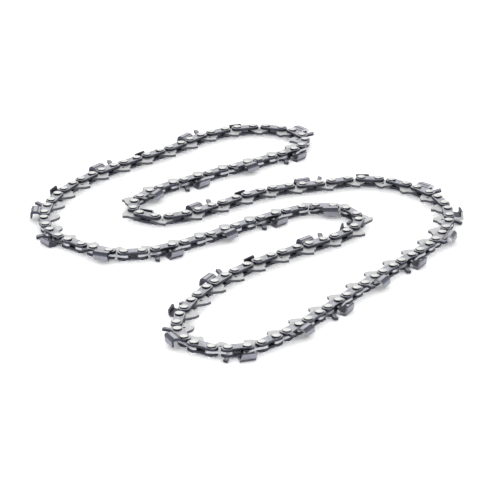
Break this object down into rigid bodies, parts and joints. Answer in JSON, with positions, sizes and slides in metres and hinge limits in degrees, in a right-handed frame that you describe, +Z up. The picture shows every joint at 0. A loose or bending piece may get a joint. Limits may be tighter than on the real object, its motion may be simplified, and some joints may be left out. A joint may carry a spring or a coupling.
{
  "type": "chainsaw chain loop",
  "caption": "Closed loop of steel saw chain lying on its side, with cutters set by turns to the left and right, tie straps, riveted joints and drive links with pointed tangs.",
  "frame": {"origin": "middle of the loop's outline on the floor it lies on", "axes": "+X across the loop, +Y along its longer side, +Z up along the rivets"},
  "size_m": [0.2228, 0.3026, 0.0058],
  "materials": {
    "cutter": "satin plating with a ground top plate",
    "strap": "tumbled and oiled",
    "drive_link": "tumbled",
    "rivet": "bright spun head"
  },
  "bodies": {
    "root": {"drive_links_ahead_of_cutters": "drive_link", "drive_links_behind_cutters": "drive_link", "left_cutter_01": "cutter", "left_cutter_02": "cutter", "left_cutter_03": "cutter", "left_cutter_04": "cutter", "left_cutter_05": "cutter", "left_cutter_06": "cutter", "left_cutter_07": "cutter", "left_cutter_08": "cutter", "left_cutter_09": "cutter", "left_cutter_10": "cutter", "left_cutter_11": "cutter", "left_cutter_12": "cutter", "left_cutter_13": "cutter", "left_cutter_14": "cutter", "left_cutter_15": "cutter", "left_cutter_16": "cutter", "left_cutter_17": "cutter", "left_cutter_18": "cutter", "left_rivet_heads": "rivet", "left_tie_straps": "strap", "left_tie_straps_facing_cutters": "strap", "right_cutter_01": "cutter", "right_cutter_02": "cutter", "right_cutter_03": "cutter", "right_cutter_04": "cutter", "right_cutter_05": "cutter", "right_cutter_06": "cutter", "right_cutter_07": "cutter", "right_cutter_08": "cutter", "right_cutter_09": "cutter", "right_cutter_10": "cutter", "right_cutter_11": "cutter", "right_cutter_12": "cutter", "right_cutter_13": "cutter", "right_cutter_14": "cutter", "right_cutter_15": "cutter", "right_cutter_16": "cutter", "right_cutter_17": "cutter", "right_cutter_18": "cutter", "right_rivet_heads": "rivet", "right_tie_straps": "strap", "right_tie_straps_facing_cutters": "strap"}
  },
  "joints": []
}
